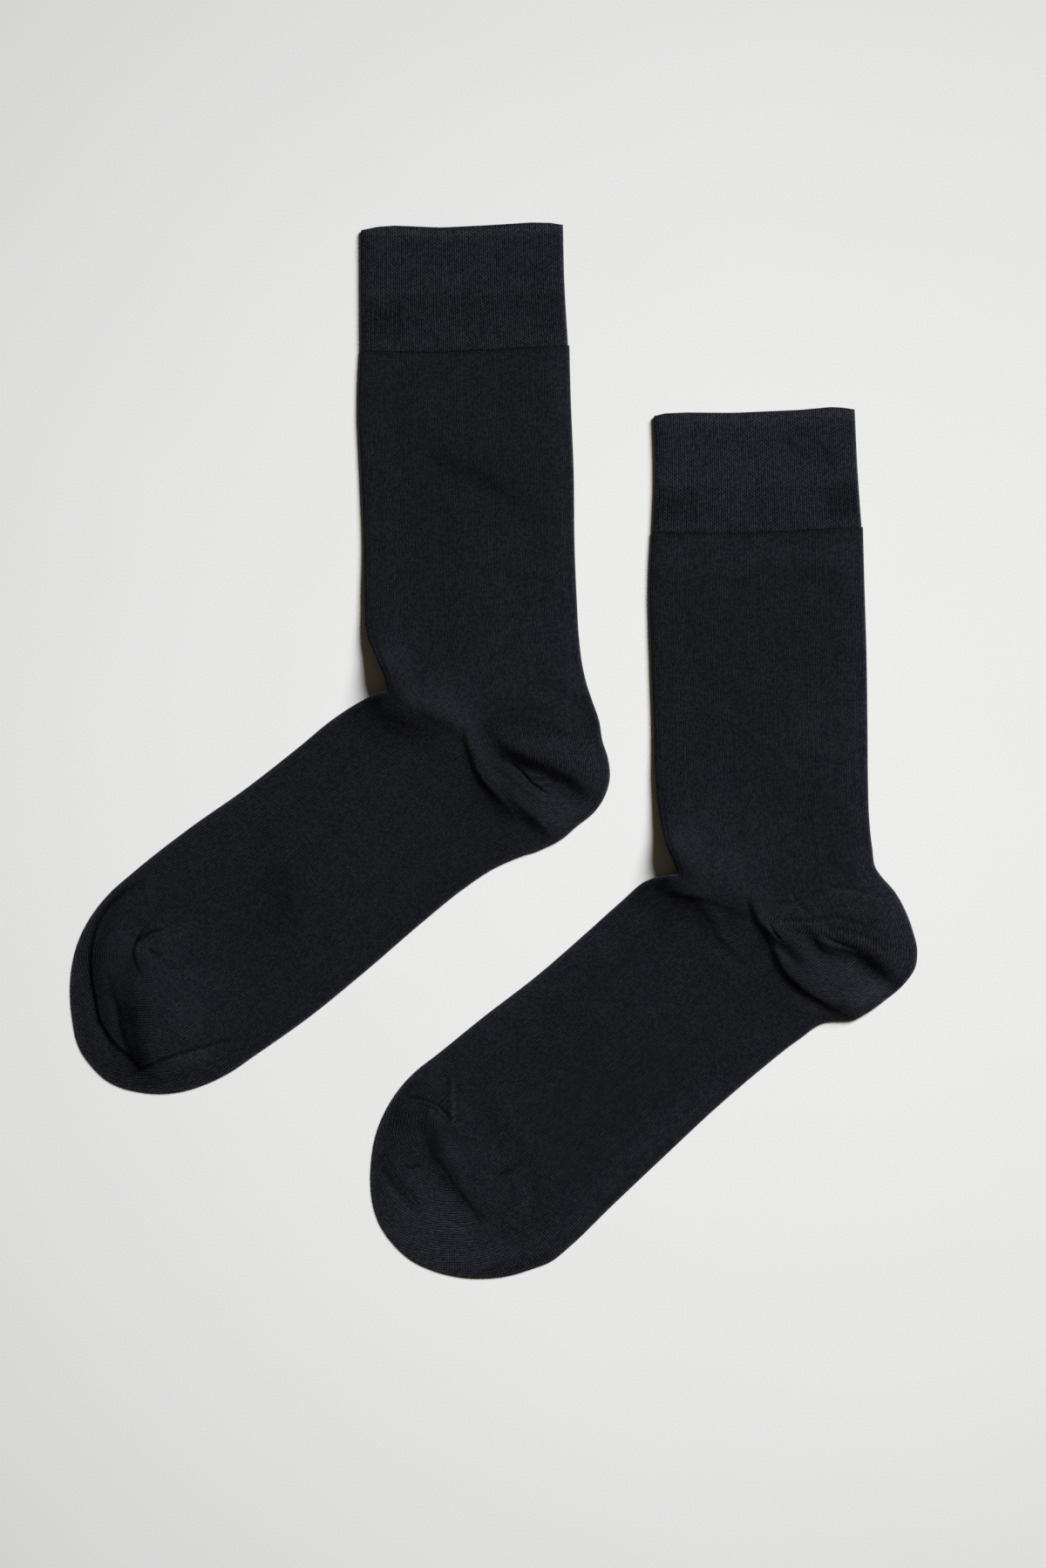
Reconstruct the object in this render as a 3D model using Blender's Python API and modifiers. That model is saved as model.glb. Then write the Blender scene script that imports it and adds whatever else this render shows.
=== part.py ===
"""A pair of plain knitted crew socks, laid flat beside each other with the toes to the lower left.

Each sock is one flattened tube of cloth whose two panels lie on each other. It is knitted in five
stretches, each a solid of its own: cuff, leg, heel pocket, foot and toe cup.

Sizes are in millimetres, and become metres where a mesh is made. In a sock's own plan the origin is
the inner ankle corner, +X runs across the leg to the heel's side and +Y runs up the leg.
"""

import math
from collections import namedtuple

import bmesh
import bpy
import numpy as np

MM = 0.001

# The cloth
WALL = 1.1  # thickness of the knit
SEAM_GAP = 0.4  # hairline between two stretches
REST_HEIGHT = 2.9  # the upper panel's outside over the ground, where both panels lie flat
LEAST_HEIGHT = 2 * WALL + 0.3  # the same at the bottom of a crease
FOLD_REACH = 1.9  # the most that a rounded side fold takes of the width

# The foot leaves the ankle corner on this bearing, counted from +X
FOOT_BEARING = math.radians(215.9)

# Facets round a ring of cloth, in front of the gusset's line and behind it
UPPER_FRONT, UPPER_BACK = 5, 7
LOWER_FRONT, LOWER_BACK = 2, 3
FOLD_ANGLES = tuple(math.radians(a) for a in (45, 90, 135))
RINGS_PER_TOE_ROW = 2
CREASE_SAMPLES = 24  # points read along a crease
SHARP_EDGE = math.radians(50)

# A section goes across the tube, from its front edge (shin, then instep) to its back edge (calf, then sole).
# along: where the front edge lies, up the leg from the ankle or down the foot from it
# front, back: how far each edge lies across the axis through the ankle corner
# slant: how much further along the back edge lies
# pull: the share of the way to the gusset that the section's middle is drawn
Section = namedtuple("Section", "along front back slant pull")

# A ray of the heel pocket goes from the gusset to the outline, on a bearing in degrees from +X
Ray = namedtuple("Ray", "bearing reach")

# A swell lifts the upper panel round a point, fading over its reach
Swell = namedtuple("Swell", "x y reach rise")

# A crease presses the upper panel down along a curve, which middle draws to its side
Crease = namedtuple("Crease", "start middle end width depth")

# corner: the inner ankle corner, counted from the first sock's. gusset: the inner tip of the heel pocket
Sock = namedtuple("Sock", "name corner gusset cuff leg foot toe heel swells creases")

SOCK_A = Sock(
    name="sock_a",
    corner=(0.0, 0.0),
    gusset=(33.4, -21.7),
    cuff=(
        Section(201.3, -11.0, 77.0, 2.3, 0.0),
        Section(176.0, -10.9, 77.6, 2.0, 0.0),
        Section(148.2, -10.8, 79.2, 2.4, 0.01),
    ),
    leg=(
        Section(148.2, -11.2, 79.8, 2.4, 0.01),
        Section(126.0, -12.0, 80.4, 1.5, 0.01),
        Section(94.0, -10.8, 81.7, 0.5, 0.02),
        Section(62.0, -9.5, 82.1, 0.0, 0.04),
        Section(40.0, -9.4, 83.0, 0.0, 0.08),
        Section(24.0, -8.2, 83.9, 0.0, 0.16),
        Section(12.0, -3.3, 85.4, -0.5, 0.35),
        Section(4.0, -0.2, 87.6, -2.0, 0.7),
        Section(0.0, 0.0, 89.8, -4.5, 1.0),
    ),
    heel=(
        Ray(16.9, 59.0),
        Ray(8.0, 60.0),
        Ray(0.0, 60.8),
        Ray(-7.0, 63.7),
        Ray(-14.0, 66.0),
        Ray(-21.0, 66.5),
        Ray(-28.0, 65.4),
        Ray(-36.0, 62.4),
        Ray(-44.0, 60.9),
        Ray(-52.1, 58.7),
    ),
    foot=(
        Section(0.0, 0.0, 95.9, -16.4, 1.0),
        Section(2.0, -0.7, 95.3, -15.4, 0.87),
        Section(6.0, -1.8, 93.2, -13.0, 0.6),
        Section(14.0, -3.0, 90.3, -8.0, 0.3),
        Section(26.0, -3.6, 89.6, -3.0, 0.12),
        Section(45.0, -2.5, 90.8, 0.0, 0.04),
        Section(75.0, -1.4, 93.5, 2.0, 0.0),
        Section(105.0, -1.8, 95.4, 4.0, 0.0),
        Section(136.0, -0.6, 95.1, 4.0, 0.0),
    ),
    toe=(
        Section(136.0, -0.6, 95.1, 4.0, 0.0),
        Section(150.0, 0.8, 94.8, 2.0, 0.0),
        Section(162.0, 4.2, 93.2, 0.0, 0.0),
        Section(173.0, 10.0, 89.8, 0.0, 0.0),
        Section(183.0, 18.8, 84.2, 0.0, 0.0),
        Section(190.0, 27.8, 78.0, 0.0, 0.0),
        Section(195.0, 36.5, 72.0, 0.0, 0.0),
        Section(198.3, 43.5, 65.5, 0.0, 0.0),
        Section(199.7, 49.0, 58.0, 0.0, 0.0),
    ),
    swells=(
        Swell(-1.0, 3.0, 15.0, 5.2),
        Swell(6.0, -14.0, 16.0, 1.4),
        Swell(64.0, -16.0, 24.0, 1.7),
        Swell(62.0, -52.0, 17.0, 2.0),
        Swell(86.0, -36.0, 20.0, 1.4),
        Swell(-124.0, -110.0, 24.0, 1.8),
        Swell(-118.0, -158.0, 26.0, 1.8),
        Swell(-84.0, -148.0, 34.0, 1.2),
    ),
    creases=(
        Crease((33.0, -24.5), (42.0, -47.0), (64.5, -67.0), 3.5, 1.7),
        Crease((44.5, -19.0), (61.0, -33.5), (87.4, -43.3), 4.0, 2.0),
        Crease((-112.1, -86.6), (-137.0, -115.0), (-120.0, -152.0), 3.0, 1.8),
        Crease((-112.0, -170.2), (-100.0, -160.0), (-66.5, -152.0), 3.0, 1.5),
    ),
)

SOCK_B = Sock(
    name="sock_b",
    corner=(126.2, -79.8),
    gusset=(34.6, -17.9),
    cuff=(
        Section(199.9, -9.6, 78.0, 3.0, 0.0),
        Section(174.0, -8.9, 79.2, 2.4, 0.0),
        Section(149.0, -9.8, 81.0, 2.2, 0.01),
    ),
    leg=(
        Section(149.0, -10.3, 81.6, 2.2, 0.01),
        Section(126.0, -11.3, 82.2, 1.5, 0.01),
        Section(94.0, -10.6, 83.2, 0.5, 0.02),
        Section(62.0, -9.4, 83.6, 0.0, 0.04),
        Section(40.0, -8.8, 83.8, 0.0, 0.08),
        Section(24.0, -6.9, 84.3, 0.0, 0.16),
        Section(12.0, -4.2, 85.6, -0.5, 0.35),
        Section(4.0, -0.8, 87.4, -2.0, 0.7),
        Section(0.0, 0.0, 88.9, -0.2, 1.0),
    ),
    heel=(
        Ray(18.1, 57.2),
        Ray(9.0, 61.9),
        Ray(1.0, 65.8),
        Ray(-6.0, 69.2),
        Ray(-12.0, 72.2),
        Ray(-18.0, 73.5),
        Ray(-25.0, 71.6),
        Ray(-33.0, 67.9),
        Ray(-40.5, 65.0),
        Ray(-47.5, 61.8),
    ),
    foot=(
        Section(0.0, 0.0, 96.3, -24.6, 1.0),
        Section(1.6, -0.9, 95.7, -23.4, 0.87),
        Section(5.0, -2.7, 92.6, -21.0, 0.6),
        Section(12.0, -5.1, 89.9, -14.0, 0.3),
        Section(26.0, -4.2, 90.8, -6.0, 0.12),
        Section(45.0, -2.2, 92.8, -1.0, 0.04),
        Section(75.0, 0.5, 96.8, 1.0, 0.0),
        Section(105.0, 1.4, 100.9, 2.0, 0.0),
        Section(131.0, 2.8, 104.6, 2.0, 0.0),
    ),
    toe=(
        Section(131.0, 2.8, 104.6, 2.0, 0.0),
        Section(142.0, 3.2, 105.1, 0.0, 0.0),
        Section(152.0, 5.1, 102.6, 0.0, 0.0),
        Section(162.0, 9.0, 99.0, 0.0, 0.0),
        Section(172.0, 15.2, 93.2, 0.0, 0.0),
        Section(181.0, 24.0, 85.4, 0.0, 0.0),
        Section(187.5, 32.6, 77.2, 0.0, 0.0),
        Section(191.8, 40.8, 69.2, 0.0, 0.0),
        Section(193.9, 48.0, 60.6, 0.0, 0.0),
    ),
    swells=(
        Swell(-1.0, 3.0, 16.0, 5.2),
        Swell(8.0, -2.0, 16.0, 1.2),
        Swell(66.0, -12.0, 24.0, 1.6),
        Swell(60.0, -44.0, 19.0, 2.2),
        Swell(90.0, -30.0, 20.0, 1.4),
        Swell(-114.0, -102.0, 24.0, 1.6),
        Swell(-112.0, -148.0, 28.0, 1.6),
        Swell(-72.0, -146.0, 34.0, 1.2),
    ),
    creases=(
        Crease((-11.0, -4.5), (8.0, -10.0), (30.0, -21.0), 3.5, 1.4),
        Crease((32.7, -13.3), (39.0, -38.0), (72.2, -61.9), 3.0, 2.2),
        Crease((57.4, -25.8), (76.0, -31.0), (96.1, -48.6), 4.0, 1.8),
        Crease((-123.1, -96.9), (-105.0, -93.0), (-94.0, -109.0), 3.0, 1.4),
        Crease((-107.5, -117.8), (-100.0, -132.0), (-91.2, -144.0), 3.5, 1.8),
    ),
)

# Material name, linear colour and roughness of each stretch's knit
CLOTHS = {
    "cuff": ("rib_knit", (0.0150, 0.0160, 0.0200, 1.0), 0.90),
    "leg": ("plain_knit", (0.0120, 0.0126, 0.0160, 1.0), 0.92),
    "heel": ("close_knit", (0.0130, 0.0136, 0.0170, 1.0), 0.94),
    "foot": ("plain_knit", (0.0120, 0.0126, 0.0160, 1.0), 0.92),
    "toe": ("close_knit", (0.0130, 0.0136, 0.0170, 1.0), 0.94),
}


def direction(bearing):
    return np.array([math.cos(bearing), math.sin(bearing)])


# How a tube's sections lie: axis and side are the directions that along and across are counted in, travel
# is the way from the cuff to the toe, and mitre is the section that passes through the gusset
Lie = namedtuple("Lie", "axis side travel mitre")


def leg_lie(sock):
    up = direction(math.radians(90))
    return Lie(axis=up, side=direction(0.0), travel=-up, mitre=sock.leg[-1])


def foot_lie(sock):
    down = direction(FOOT_BEARING)
    return Lie(axis=down, side=direction(FOOT_BEARING + math.radians(90)), travel=down, mitre=sock.foot[0])


def near_crease(crease, plan):
    """How far each plan point is from a crease, and the share of the crease's length that is nearest."""
    start, middle, end = (np.array(point) for point in (crease.start, crease.middle, crease.end))
    share = np.linspace(0.0, 1.0, CREASE_SAMPLES)[:, None]
    curve = (1 - share) ** 2 * start + 2 * share * (1 - share) * middle + share**2 * end
    away = np.linalg.norm(plan[:, None, :] - curve[None, :, :], axis=2)
    return away.min(axis=1), share[away.argmin(axis=1), 0]


def height_over_ground(sock, plan):
    """How high the upper panel's outside lies over the ground, for an array of plan points."""
    height = np.full(len(plan), REST_HEIGHT)
    for swell in sock.swells:
        away = np.hypot(plan[:, 0] - swell.x, plan[:, 1] - swell.y)
        height += swell.rise * np.exp(-((away / swell.reach) ** 2))
    for crease in sock.creases:
        away, share = near_crease(crease, plan)
        ends_fade = np.sqrt(np.sin(np.pi * share))
        height -= crease.depth * ends_fade * np.exp(-((away / crease.width) ** 2))
    return np.maximum(height, LEAST_HEIGHT)


def section_line(sock, section, lie):
    """A section's front edge, its point on the gusset's line and its back edge, in plan."""
    front = lie.axis * section.along + lie.side * section.front
    back = lie.axis * (section.along + section.slant) + lie.side * section.back
    share = np.dot(sock.gusset, lie.side) / lie.mitre.back
    straight = front + share * (back - front)
    return front, straight + section.pull * (np.array(sock.gusset) - straight), back


def tube_lines(sock, rows, lie):
    """The plan lines of a tube's sections, its two open ends drawn in by half a hairline."""
    lines = [section_line(sock, row, lie) for row in rows]
    inset = lie.travel * SEAM_GAP / 2
    lines[0] = [point + inset for point in lines[0]]
    lines[-1] = [point - inset for point in lines[-1]]
    return lines


def points_between(start, end, count):
    return [start + (end - start) * step / count for step in range(count + 1)]


def raised(sock, plan):
    """Plan points put on the upper panel's outside."""
    plan = np.array(plan)
    return [tuple(point) for point in np.column_stack([plan, height_over_ground(sock, plan)])]


def laid(plan):
    """Plan points put on the ground, under the lower panel."""
    return [(*point, 0.0) for point in plan]


def side_fold(sock, inner, outline):
    """The panels' edge before a rounded fold at the outline, and the fold's points from top to bottom."""
    outward = (outline - inner) / np.linalg.norm(outline - inner)
    height = height_over_ground(sock, outline[None, :])[0]
    reach = min(FOLD_REACH, height / 2)
    edge = outline - outward * reach
    bulge = [
        (*(edge + outward * reach * math.sin(angle)), height / 2 * (1 + math.cos(angle)))
        for angle in FOLD_ANGLES
    ]
    return edge, [(*edge, height)] + bulge + [(*edge, 0.0)]


def tube_ring(sock, line):
    """One ring round the tube: the upper panel, the back fold, the lower panel and the front fold."""
    front, middle, back = line
    front_edge, front_fold = side_fold(sock, middle, front)
    back_edge, back_fold = side_fold(sock, middle, back)
    upper = points_between(front_edge, middle, UPPER_FRONT) + points_between(middle, back_edge, UPPER_BACK)[1:]
    lower = points_between(back_edge, middle, LOWER_BACK) + points_between(middle, front_edge, LOWER_FRONT)[1:]
    return raised(sock, upper[1:-1]) + back_fold + laid(lower[1:-1]) + front_fold[::-1]


def rows_between(rows, count):
    """A table's rows with more of them read from a smooth curve that passes through each."""
    table = np.array(rows)
    table = np.vstack([2 * table[0] - table[1], table, 2 * table[-1] - table[-2]])
    smooth = []
    for before, here, there, after in zip(table, table[1:], table[2:], table[3:]):
        step = there - here
        bend_here, bend_there = (there - before) / 2 - step, (after - here) / 2 - step
        for share in np.arange(count) / count:
            bend = (1 - share) * bend_here - share * bend_there
            smooth.append(Section(*(here + step * share + share * (1 - share) * bend)))
    return smooth + [rows[-1]]


def add_points(surface, points):
    return [surface.verts.new([value * MM for value in point]) for point in points]


def skin(surface, near, far):
    """Faces between two neighbouring rows of vertices, pointing out of the tube."""
    for corner in range(len(near) - 1):
        ring = [near[corner], far[corner], far[corner + 1], near[corner + 1]]
        surface.faces.new(list(dict.fromkeys(ring)))


def loft_tube(surface, sock, lines):
    """The faces round a tube, and its last ring of vertices."""
    rings = [add_points(surface, tube_ring(sock, line)) for line in lines]
    for near, far in zip(rings, rings[1:]):
        skin(surface, near + near[:1], far + far[:1])
    return rings[-1]


def build_cuff(surface, sock):
    loft_tube(surface, sock, tube_lines(sock, sock.cuff, leg_lie(sock)))


def build_leg(surface, sock):
    loft_tube(surface, sock, tube_lines(sock, sock.leg, leg_lie(sock)))


def build_heel(surface, sock):
    """A pocket of rays from the gusset out over the upper panel, round the fold and back underneath."""
    bearings = [math.radians(ray.bearing) for ray in sock.heel]
    middle, half = (bearings[0] + bearings[-1]) / 2, (bearings[0] - bearings[-1]) / 2
    tip = np.array(sock.gusset) + direction(middle) * SEAM_GAP / 2 / math.sin(half)
    upper_tip = add_points(surface, raised(sock, [tip]))
    lower_tip = add_points(surface, laid([tip]))
    rows = []
    for ray, bearing in zip(sock.heel, bearings):
        edge, fold = side_fold(sock, tip, tip + direction(bearing) * ray.reach)
        upper = raised(sock, points_between(tip, edge, UPPER_BACK)[1:-1])
        lower = laid(points_between(edge, tip, LOWER_BACK)[1:-1])
        rows.append(upper_tip + add_points(surface, upper + fold + lower) + lower_tip)
    for near, far in zip(rows, rows[1:]):
        skin(surface, near, far)


def build_foot(surface, sock):
    loft_tube(surface, sock, tube_lines(sock, sock.foot, foot_lie(sock)))


def build_toe(surface, sock):
    """A tube that narrows to a rounded tip, where its last ring is closed."""
    rows = rows_between(sock.toe, RINGS_PER_TOE_ROW)
    last_ring = loft_tube(surface, sock, tube_lines(sock, rows, foot_lie(sock)))
    surface.faces.new(last_ring[::-1])


STRETCHES = {
    "cuff": build_cuff,
    "leg": build_leg,
    "heel": build_heel,
    "foot": build_foot,
    "toe": build_toe,
}


def knit_material(slot, colour, roughness):
    if slot in bpy.data.materials:
        return bpy.data.materials[slot]
    material = bpy.data.materials.new(slot)
    material.use_nodes = True
    shader = material.node_tree.nodes["Principled BSDF"]
    shader.inputs["Base Color"].default_value = colour
    shader.inputs["Roughness"].default_value = roughness
    shader.inputs["Metallic"].default_value = 0.0
    return material


def new_part(name, build, sock, cloth):
    """One stretch of a sock: the open surface of its outside, with the wall put on inside it."""
    surface = bmesh.new()
    build(surface, sock)
    mesh = bpy.data.meshes.new(name)
    surface.to_mesh(mesh)
    surface.free()
    mesh.materials.append(knit_material(*cloth))
    mesh.shade_smooth()
    mesh.set_sharp_from_angle(angle=SHARP_EDGE)
    part = bpy.data.objects.new(name, mesh)
    wall = part.modifiers.new("wall", "SOLIDIFY")
    wall.thickness = WALL * MM
    wall.offset = -1.0
    wall.use_even_offset = True
    return part


def build_sock(sock, collection):
    """A sock's empty, with its five stretches of cloth on it."""
    anchor = bpy.data.objects.new(f"{sock.name}_anchor", None)
    anchor.location = (sock.corner[0] * MM, sock.corner[1] * MM, 0.0)
    collection.objects.link(anchor)
    for stretch, build in STRETCHES.items():
        part = new_part(f"{sock.name}_{stretch}", build, sock, CLOTHS[stretch])
        part.parent = anchor
        collection.objects.link(part)
    return anchor


def centre_pair(anchors):
    """Moves both socks so that the middle of the pair's outline lies over the origin."""
    parts = [part for anchor in anchors for part in anchor.children]
    points = [vertex.co + part.parent.location for part in parts for vertex in part.data.vertices]
    middle = (np.min(points, axis=0) + np.max(points, axis=0)) / 2
    for anchor in anchors:
        anchor.location.x -= middle[0]
        anchor.location.y -= middle[1]


def main():
    for old in list(bpy.data.objects):
        bpy.data.objects.remove(old, do_unlink=True)
    collection = bpy.data.collections.new("pair_of_socks")
    bpy.context.scene.collection.children.link(collection)
    centre_pair([build_sock(sock, collection) for sock in (SOCK_A, SOCK_B)])


main()
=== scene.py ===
"""The looks of a pair of plain knitted crew socks that lie flat beside each other, toes to the lower left.

Each sock is one flattened tube of fine dark cloth. Its cuff, leg, heel, foot and toe are thin closed
shells that replace the CAD solids of the same names. They share one form: the same sections as the
solids, the swells of the folds round ankle, heel and toe, and the creases in them.

Sizes are in millimetres, and become metres where a mesh is made. In a sock's own plan the origin is the
inner ankle corner, +X runs across the leg to the heel's side and +Y runs up the leg.
"""

import math
from collections import namedtuple

import bpy
import numpy as np
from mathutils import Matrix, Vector
from mathutils.kdtree import KDTree


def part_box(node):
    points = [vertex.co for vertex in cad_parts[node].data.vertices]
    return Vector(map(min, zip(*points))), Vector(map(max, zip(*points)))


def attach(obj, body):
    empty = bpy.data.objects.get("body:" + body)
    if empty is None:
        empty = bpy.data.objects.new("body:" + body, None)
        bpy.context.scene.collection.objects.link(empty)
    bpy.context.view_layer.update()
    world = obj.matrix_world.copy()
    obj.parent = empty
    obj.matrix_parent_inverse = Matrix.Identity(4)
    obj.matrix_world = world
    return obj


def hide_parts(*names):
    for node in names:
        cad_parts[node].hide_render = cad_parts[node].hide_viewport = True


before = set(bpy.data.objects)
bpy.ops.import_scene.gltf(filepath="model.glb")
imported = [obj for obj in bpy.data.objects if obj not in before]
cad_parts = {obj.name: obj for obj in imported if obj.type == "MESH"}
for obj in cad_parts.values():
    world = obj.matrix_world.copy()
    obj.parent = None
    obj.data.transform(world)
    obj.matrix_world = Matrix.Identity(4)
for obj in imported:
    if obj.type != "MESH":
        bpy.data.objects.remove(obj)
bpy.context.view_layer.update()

MM = 0.001

# The cloth's form
REST_HEIGHT = 2.1  # the upper panel's outside over the lower one's, where both lie flat
LEAST_HEIGHT = 0.8  # the same at the bottom of a crease
PRESSED, PRESS_REACH = 0.5, 6.0  # how much flatter the tube is along its edges, and how far in
ROUND_FROM = -8.0, 12.0  # the leg's front edge stays round from this height on
ROUND_TO = 5.0, 45.0  # and as far across the leg as this
UNEVEN, UNEVEN_WAVES, UNEVEN_SEED = 0.05, (9.0, 30.0), 6  # its height, its wavelengths and its draws' seed
FOLD_REACH = 3.0  # how much of the width a rounded side fold takes
WALL = 0.5  # thickness of the knit
LEAST_INSIDE = 6.0  # the least width of the tube that the inside of the wall reaches to, at the toe's end
WAVE_DEPTH = 0.3  # the share of the cuff's depth over which its top edge's wave dies away
PEEK, PEEK_DEPTH = 0.5, 0.1  # how far the back panel shows over the cuff's top, and the same share for it
CUFF_PROUD = 0.12  # how much the thicker cuff stands over the leg
FOOT_BEARING = math.radians(215.9)  # the way the foot leaves the ankle corner, counted from +X
HAIRLINE = 0.2  # how far the CAD's cuff stops short of its top section

# Painted light and shade: shares by which the cloth is painted lighter or darker than its knit
PAINTED_RIM_SHEEN, PAINTED_RIM_REACH = 1.2, 1.0  # painted sheen of the fuzz along the outline: how much lighter, and how far in
# the most that painted shade darkens the cloth
DEEPEST_PAINTED_SHADE = -0.85

# How finely the shells are made
FRONT_COLUMNS, BACK_COLUMNS = 58, 92  # across the upper panel, before and behind the gusset's line
EDGE_SHARES = tuple(1 - math.cos(math.radians(angle)) for angle in (0, 14, 28, 42, 56, 70))
UNDERSIDE_SHARE = 3  # the underside has one column for this many on the upper panel
INNER_SHARE = 4  # the inside of the wall has one row for this many outside
WIDE_PITCH, FINE_PITCH = 0.9, 0.55  # from row to row, where the cloth is plain and where it is creased
ROUTE_PITCH = 0.5  # between the points read along a fold's route
ROUGH_POINTS = 20  # to each point of a route, when its length is measured
FADED = 3  # beyond this many of its widths a fold no longer counts
AT_ONCE = 20000  # plan points worked on together

# The knit
WALES = 96  # across one panel
COURSE = 0.73  # height of one row of stitches
WANDER, WANDER_PACE = 0.45, (0.35, 0.12)  # how far a wale strays, in wales, and how fast, across and along
SLANT = 0.8  # how many courses higher a stitch's sides lie than its middle
GROOVE = 0.25  # depth of the groove along a wale's middle, where a stitch is about 1 high
LOOP = 0.35  # how much lower a stitch's ends are than its middle
HOLE, HOLE_SIDE = 0.8, (0.30, 0.90)  # the mock rib's holes: how deep, and where their sides start and end
RIB = 0.05  # how much higher and lower its wales stand in turn
TOE_WALE = 1.02  # width of a wale in the toe, where the wales turn round a centre
TOE_RADIUS = 40.0  # how far from it the toe's courses are as high as elsewhere
TOE_TURNS = -7.0, 150.0  # degrees round it, from the foot's border to the linked seam
COOL, WARM = (0.96, 0.99, 1.06), (1.05, 1.01, 0.93)  # the yarn's tints
TOP, TOP_LIGHT = 0.85, 1.45  # painted highlight on stitch tops: from which height, and how light
THREADS = 0.04  # how uneven the wales are in light
CLOUDS, CLOUD_SCALE = 0.15, 90.0  # the same for soft clouds, and their scale per metre
MOTTLE, MOTTLE_SCALE = 0.40, 1500.0  # and for the mottle
GRAIN, GRAIN_SCALE = 0.25, 5200.0  # how uneven the stitches are in height

Section = namedtuple("Section", "along front back slant pull", defaults=(0, 0))
Swell = namedtuple("Swell", "x y reach rise")

# A fold raises the upper panel along a route, or presses it down where rise is negative. It fades over
# the distances left and right, which are those sides of the route as it is walked. fade is small for a
# fold that keeps its height nearly to its ends, and 1 or more for one that swells from them.
Fold = namedtuple("Fold", "rise left right fade route")

# gusset: the point of the upper panel where leg, heel and foot meet
# cuff, leg, foot, toe: sections across the tube. The toe goes on from the foot's last one
# wave: how much higher the cuff's top edge lies at a place across it
# heel: bearing and reach of rays from the gusset, between the leg's last section and the foot's first
# toe_centre: the point that the toe's wales turn round
# lifts: swells and folds of the whole tube off the ground
# swells, folds: of the upper panel. underfolds: of the lower one
# tones: the same shapes, as shares of painted shade in creases and hollows, or of painted light on lit
# slopes
Sock = namedtuple(
    "Sock", "name gusset cuff wave leg foot toe heel toe_centre lifts swells folds underfolds tones"
)


def sections(*rows):
    return tuple(Section(*row) for row in rows)


def fold(rise, left, right, fade, *route):
    return Fold(rise, left, right, fade, route)


def even(rise, width, fade, *route):
    """A fold that fades over the same distance on both sides."""
    return Fold(rise, width, width, fade, route)


def stripes(tone, width, count, first, last):
    """Painted shade between wales that stand apart: narrow folds spread evenly from one route to another.
    """
    shares = [k / (count - 1) for k in range(count)]
    routes = [[tuple(a + s * (b - a) for a, b in zip(p, q)) for p, q in zip(first, last)] for s in shares]
    return tuple(even(tone, width, 0.4, *route) for route in routes)


# Routes that a crease and its painted shade share
CURL = ((-103.5, -101), (-108.5, -108.5), (-110, -113), (-109.5, -118), (-106, -125))
CURL_BRANCH = ((-109, -109.5), (-104, -106), (-96.5, -103.5))
DIMPLE = ((-104, -112.5), (-101, -114.5), (-98, -116.5))
HEEL_CREASE = ((54, -31.5), (58, -34.5), (62, -39), (64.5, -41.2), (68, -43.5), (72, -46))
HEEL_WRINKLE = ((63, -26), (70, -30), (79, -33))

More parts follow.
